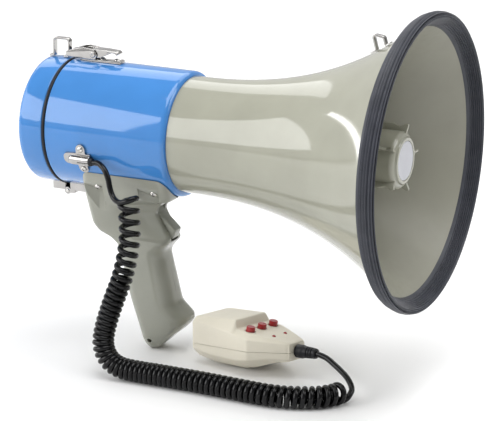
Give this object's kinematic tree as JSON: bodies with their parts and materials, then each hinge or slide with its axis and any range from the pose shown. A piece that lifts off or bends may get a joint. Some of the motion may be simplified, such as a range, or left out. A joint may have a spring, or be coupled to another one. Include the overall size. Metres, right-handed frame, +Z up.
{
  "type": "handheld megaphone",
  "caption": "Handheld megaphone: flared reflex horn with a rubber rim, round body with a hinged battery cover and draw latch, pistol grip with trigger, hand microphone on a curly cord.",
  "frame": {"origin": "middle of the hand grip, where the hand closes round it", "axes": "+X along the horn's axis towards its mouth, +Z up along the grip towards the body, +Y to the left of a person who looks along the horn"},
  "size_m": [0.334, 0.2304, 0.2983],
  "materials": {
    "horn_plastic": "glossy moulded warm grey",
    "rim_rubber": "matt blue-grey rubber with fine ribs",
    "label_white": "blank satin label",
    "driver_steel": "zinc-plated steel",
    "ferrite": "dark sintered ferrite",
    "diaphragm_film": "amber film",
    "blue_plastic": "glossy moulded sky blue",
    "black_plastic": "matt black moulding",
    "circuit_board": "green glass-fibre board",
    "heat_sink_aluminium": "plain extruded",
    "battery_jacket": "printed jacket, left blank",
    "chrome_hardware": "bright chrome plate",
    "screw_steel": "bright plated screws",
    "grip_plastic": "satin-gloss moulded warm grey",
    "black_rubber": "black rubber",
    "cord_rubber": "semi-gloss black cable jacket",
    "mic_plastic": "fine-textured cream",
    "button_red": "glossy red",
    "led_red": "clear red lens"
  },
  "bodies": {
    "megaphone": {"horn_bell": "horn_plastic", "rim_bumper": "rim_rubber", "horn_hub": "horn_plastic", "hub_label_disc": "label_white", "throat_tube": "horn_plastic", "driver_plate": "driver_steel", "driver_magnet": "ferrite", "driver_yoke": "driver_steel", "driver_diaphragm": "diaphragm_film", "body_shell": "blue_plastic", "amplifier_plate": "black_plastic", "amplifier_board": "circuit_board", "heat_sink": "heat_sink_aluminium", "battery_carrier": "black_plastic", "battery_cell_1": "battery_jacket", "battery_cell_2": "battery_jacket", "battery_cell_3": "battery_jacket", "battery_cell_4": "battery_jacket", "battery_cell_5": "battery_jacket", "battery_cell_6": "battery_jacket", "hinge_leaf_body": "chrome_hardware", "hinge_pin": "driver_steel", "latch_base": "chrome_hardware", "latch_screw_1": "screw_steel", "latch_screw_2": "screw_steel", "strap_ring_front": "chrome_hardware", "cord_clip": "chrome_hardware", "clip_screw_1": "screw_steel", "clip_screw_2": "screw_steel", "cord_gland": "black_rubber", "grip_right": "grip_plastic", "grip_left": "grip_plastic", "saddle_screw_1": "screw_steel", "saddle_screw_2": "screw_steel", "saddle_screw_3": "screw_steel", "saddle_screw_4": "screw_steel", "trigger_switch": "black_plastic", "mic_top_shell": "mic_plastic", "mic_bottom_shell": "mic_plastic", "mic_capsule": "driver_steel", "mic_board": "circuit_board", "mic_led_1": "led_red", "mic_led_2": "led_red", "mic_strain_relief": "black_rubber", "cord_lead_body": "cord_rubber", "cord_coil": "cord_rubber", "cord_lead_mic": "cord_rubber"},
    "battery_cover": {"rear_cap": "blue_plastic", "cap_gasket": "black_rubber", "contact_plate": "driver_steel", "strap_ring_rear": "chrome_hardware", "hinge_leaf_cap": "chrome_hardware"},
    "latch_lever": {"latch_lever": "chrome_hardware"},
    "latch_arm": {"latch_arm": "chrome_hardware"},
    "trigger": {"trigger": "grip_plastic"},
    "mic_button_1": {"mic_button_1": "button_red"},
    "mic_button_2": {"mic_button_2": "button_red"},
    "mic_button_3": {"mic_button_3": "button_red"}
  },
  "joints": [
    {"name": "cover_hinge", "type": "hinge", "parent": "megaphone", "child": "battery_cover", "pos_m": [-0.0737, 0, 0.074], "axis": [0, -1, 0], "range_deg": [0, 110]},
    {"name": "latch_lever_hinge", "type": "hinge", "parent": "megaphone", "child": "latch_lever", "pos_m": [-0.059, 0, 0.1888], "axis": [0, -1, 0], "range_deg": [0, 105]},
    {"name": "latch_arm_hinge", "type": "hinge", "parent": "latch_lever", "child": "latch_arm", "pos_m": [-0.0522, 0, 0.1872], "axis": [0, -1, 0], "range_deg": [-105, 0]},
    {"name": "trigger_hinge", "type": "hinge", "parent": "megaphone", "child": "trigger", "pos_m": [0.0005, 0, 0.065], "axis": [0, 1, 0], "range_deg": [0, 8], "stiffness_Nm_per_rad": 0.6},
    {"name": "mic_button_1_press", "type": "slide", "parent": "megaphone", "child": "mic_button_1", "axis": [-0.1272, -0.084, -0.9883], "range_m": [0, 0.0015], "stiffness_N_per_m": 800},
    {"name": "mic_button_2_press", "type": "slide", "parent": "megaphone", "child": "mic_button_2", "axis": [-0.1272, -0.084, -0.9883], "range_m": [0, 0.0015], "stiffness_N_per_m": 800},
    {"name": "mic_button_3_press", "type": "slide", "parent": "megaphone", "child": "mic_button_3", "axis": [-0.1272, -0.084, -0.9883], "range_m": [0, 0.0015], "stiffness_N_per_m": 800}
  ],
  "couplings": [
    {"joint": "latch_arm_hinge", "follows": "latch_lever_hinge", "ratio": -1}
  ]
}
